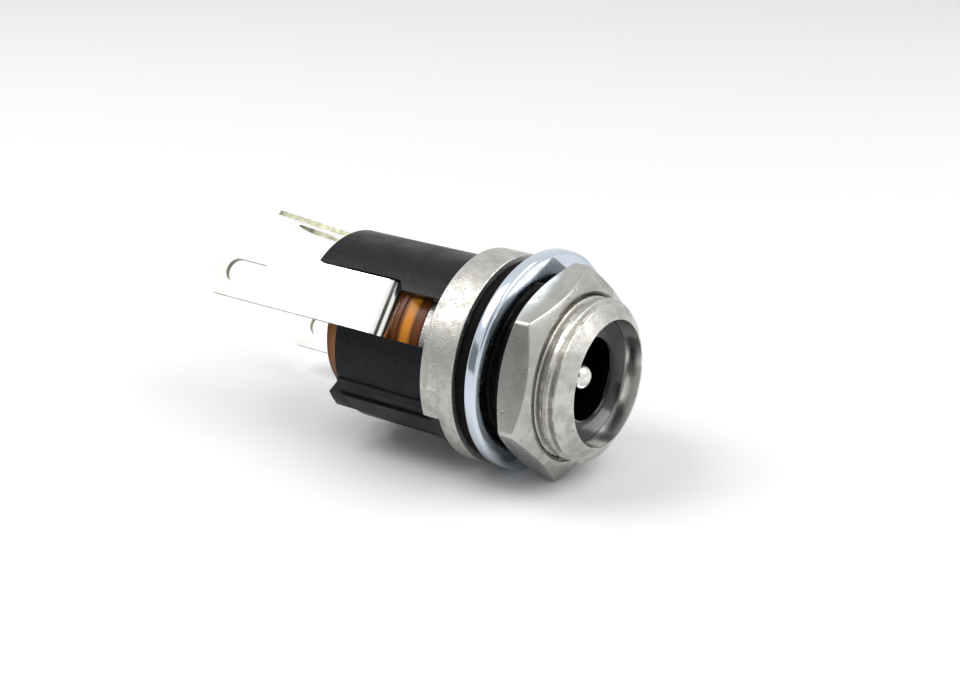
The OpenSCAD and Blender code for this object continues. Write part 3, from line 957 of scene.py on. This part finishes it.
@dataclass
class Jack:
    """The whole jack, built sub-assembly by sub-assembly."""

    bush: Bush = field(default_factory=Bush)
    nut: HexNut = field(default_factory=HexNut)
    washer: RingWasher = field(default_factory=RingWasher)
    seals: Seals = field(default_factory=Seals)
    stack: Stack = field(default_factory=Stack)
    lugs: tuple[Lug, ...] = (Lug("sleeve_contact", "contact_sleeve", 38.0, -8.7),
                             Lug("switch_contact", "contact_switch", 128.0, -12.0),
                             Lug("pin_terminal", "contact_pin", 218.0, -14.4))
    lug_edge: float = 0.06
    moulded_edge: float = 0.1
    thick_ring_edge: float = 0.1
    thin_ring_edge: float = 0.08
    most_outward: float = 0.5
    least_across: float = 0.8

    def contact(self, frame: dict[str, Any], lug: Lug) -> bpy.types.Object:
        """Carries a contact over and numbers its sheared faces 1.

        A face is sheared where its normal lies in the strip's own plane: across the lug behind
        the bend, and along the strip's width in front of it.

        Args:
            lug: the contact.

        Returns:
            The new object.
        """
        piece = carried_over(frame, lug.node, lug.name, self.lug_edge)
        mesh = piece.data
        normal = np.empty(len(mesh.polygons) * 3)
        middle = np.empty(len(mesh.polygons) * 3)
        mesh.polygons.foreach_get("normal", normal)
        mesh.polygons.foreach_get("center", middle)
        normal, middle = normal.reshape(-1, 3), middle.reshape(-1, 3) / MM
        angle = math.radians(lug.deg)
        outward = np.array([0.0, -math.cos(angle), math.sin(angle)])
        across = np.array([0.0, math.sin(angle), math.cos(angle)])
        behind = middle[:, 0] < lug.bend_x
        sheared = np.where(behind, np.abs(normal @ outward) < self.most_outward,
                           np.abs(normal @ across) > self.least_across)
        mesh.polygons.foreach_set("material_index", sheared.astype(np.int32))
        return piece

    def build(self, dresser: Dresser) -> None:
        """Builds and dresses every piece."""
        frame = dresser.frame
        # The bush's third finish paints shade on the thread by the nut, and its fourth paints a
        # highlight in the counterbore.
        dresser.dress(self.bush.build(), "threaded_bush", Finish.plated_bush, Finish.frosted_flange,
                      Finish.painted_shade_thread, Finish.smooth_bore_painted_highlight)
        dresser.dress(self.nut.build(), "hex_nut", Finish.satin_nickel)
        dresser.dress(self.washer.build(), "ring_washer", Finish.zinc_steel)
        dresser.dress(self.seals.gasket(), "sealing_gasket", Finish.black_rubber)
        dresser.dress(self.seals.liner(), "bore_liner", Finish.black_gloss)
        thick = self.stack.ring("ring_thick", self.stack.front_ring, self.thick_ring_edge)
        dresser.dress(thick, "front_ring", Finish.amber_phenolic)
        thin = self.stack.ring("ring_thin", self.stack.thin_ring, self.thin_ring_edge)
        dresser.dress(thin, "thin_ring", Finish.amber_phenolic)
        dresser.dress(self.stack.pin(), "centre_pin", Finish.bright_pin)
        dresser.repaint("spacer", Finish.black_moulding)
        dresser.repaint("rear_disc", Finish.brown_phenolic)
        moulding = carried_over(frame, "housing", "housing_moulding", self.moulded_edge)
        dresser.dress(moulding, "housing", Finish.black_moulding)
        for lug in self.lugs:
            dresser.dress(self.contact(frame, lug), lug.node, Finish.tinned_contact,
                          Finish.sheared_edge)


# ---------------------------------------------------------------- studio


@dataclass(frozen=True)
class Lamp:
    """A square soft lamp that faces the jack: its place and side in millimetres, and its power."""

    name: str
    place: tuple[float, float, float]
    size: float
    watts: float


@dataclass(frozen=True)
class Card:
    """A plain card for metal to reflect: its heading from the jack, distance, size and tone."""

    name: str
    heading: tuple[float, float, float]
    distance: float
    size: tuple[float, float]
    tone: float


@dataclass
class Studio:
    """Pale floor, white surroundings, soft lamps and the camera."""

    floor_z: float = -7.92
    floor_half: float = 3000.0
    floor_tone: float = 0.92
    floor_drift: tuple[float, float] = (-0.02, 0.01)
    floor_cool: float = 0.008
    room_level: float = 0.5
    room_tone: Colour = (0.97, 0.985, 1.0)
    lamps: tuple[Lamp, ...] = (Lamp("key", (-150, -90, 240), 170, 0.42),
                               Lamp("right", (190, 60, 230), 220, 0.5))
    cards: tuple[Card, ...] = (Card("front left card", (-0.55, -0.85, 0.04), 220, (230, 150), 0.28),
                               Card("photographer", (0.5, -0.68, 0.52), 230, (110, 150), 0.04))
    aim: tuple[float, float, float] = (-2.3, -1.05, 1.16)
    distance: float = 130.0
    azimuth_deg: float = 35.0
    elevation_deg: float = 21.5
    lens: float = 66.0

    def ground(self) -> None:
        """Lays the floor: a large square with a faint drift of tone."""
        half = self.floor_half
        mesh = bpy.data.meshes.new("floor")
        corners = np.array([[-half, -half], [half, -half], [half, half], [-half, half]])
        points = np.column_stack([corners, np.full(4, self.floor_z)]) * MM
        mesh.from_pydata(points.tolist(), [], [[0, 1, 2, 3]])
        floor = bpy.data.objects.new("floor", mesh)
        bpy.context.scene.collection.objects.link(floor)
        made, graph, place = blank("white floor")
        drift = graph.noise(place, 6.0, 2.0)
        low, high = (self.floor_tone + part for part in self.floor_drift)
        tone = graph.fit(drift, 0.2, 0.8, low, high)
        blue = graph.math("ADD", tone, self.floor_cool)
        colour = graph.add("ShaderNodeCombineColor", {0: tone, 1: tone, 2: blue}).outputs[0]
        finish(graph, {"Base Color": colour, "Roughness": 0.6, "Specular IOR Level": 0.2})
        mesh.materials.append(made)

    def sky(self) -> None:
        """Surrounds the jack: white to the camera and in reflections, a plain level otherwise."""
        world = bpy.data.worlds.new("white room")
        bpy.context.scene.world = world
        world.use_nodes = True
        graph = Graph(world.node_tree)
        path = graph.add("ShaderNodeLightPath").outputs
        seen = graph.math("MAXIMUM", path["Is Camera Ray"],
                          graph.math("MAXIMUM", path["Is Glossy Ray"], path["Is Transmission Ray"]))
        rise = graph.math("MULTIPLY", seen, 1.0 - self.room_level)
        strength = graph.math("ADD", self.room_level, rise)
        back = graph.add("ShaderNodeBackground", {"Color": self.room_tone, "Strength": strength})
        graph.add("ShaderNodeOutputWorld", {"Surface": back.outputs[0]})

    def card(self, card: Card) -> None:
        """Stands a card where only reflections see it, so that metal has something dim to show."""
        ahead = Vector(card.heading).normalized()
        turn = (-ahead).to_track_quat("Z", "Y").to_matrix()
        half_w, half_h = card.size[0] / 2.0, card.size[1] / 2.0
        flat = np.array([[-half_w, -half_h, 0.0], [half_w, -half_h, 0.0],
                         [half_w, half_h, 0.0], [-half_w, half_h, 0.0]])
        points = (flat @ np.array(turn).T + np.array(ahead) * card.distance) * MM
        mesh = bpy.data.meshes.new(card.name)
        mesh.from_pydata(points.tolist(), [], [[0, 1, 2, 3]])
        board = bpy.data.objects.new(card.name, mesh)
        bpy.context.scene.collection.objects.link(board)
        board.visible_camera = False
        board.visible_diffuse = False
        board.visible_shadow = False
        board.visible_transmission = False
        made = bpy.data.materials.new(card.name)
        made.use_nodes = True
        graph = Graph(made.node_tree)
        colour = (card.tone, card.tone, card.tone)
        glow = graph.add("ShaderNodeEmission", {"Color": colour, "Strength": 1.0})
        graph.add("ShaderNodeOutputMaterial", {"Surface": glow.outputs[0]})
        mesh.materials.append(made)

    def lamp(self, lamp: Lamp) -> None:
        """Hangs one lamp, turned towards the jack."""
        data = bpy.data.lights.new(lamp.name, "AREA")
        data.size = lamp.size * MM
        data.energy = lamp.watts
        light = bpy.data.objects.new(lamp.name, data)
        light.location = Vector(lamp.place) * MM
        light.rotation_euler = (-Vector(lamp.place)).to_track_quat("-Z", "Y").to_euler()
        bpy.context.scene.collection.objects.link(light)

    def camera(self) -> None:
        """Puts the camera on its circle round the aim."""
        az, el = math.radians(self.azimuth_deg), math.radians(self.elevation_deg)
        back = Vector((math.sin(az) * math.cos(el), -math.cos(az) * math.cos(el), math.sin(el)))
        data = bpy.data.cameras.new("camera")
        data.lens = self.lens
        data.sensor_width = 36.0
        data.clip_start = 0.001
        data.clip_end = 50.0
        camera = bpy.data.objects.new("camera", data)
        camera.location = (Vector(self.aim) + back * self.distance) * MM
        camera.rotation_euler = (-back).to_track_quat("-Z", "Y").to_euler()
        bpy.context.scene.collection.objects.link(camera)
        bpy.context.scene.camera = camera

    def build(self) -> None:
        """Sets the studio up."""
        bpy.context.scene.view_settings.view_transform = "Standard"
        self.camera()
        self.ground()
        self.sky()
        for lamp in self.lamps:
            self.lamp(lamp)
        for card in self.cards:
            self.card(card)


def main() -> None:
    """Loads the frame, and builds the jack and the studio."""
    logging.basicConfig(level=logging.INFO, format="%(name)s: %(message)s")
    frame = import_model()
    Studio().build()
    Jack().build(Dresser(frame))
    LOG.info("built")


if __name__ == "__main__":
    main()
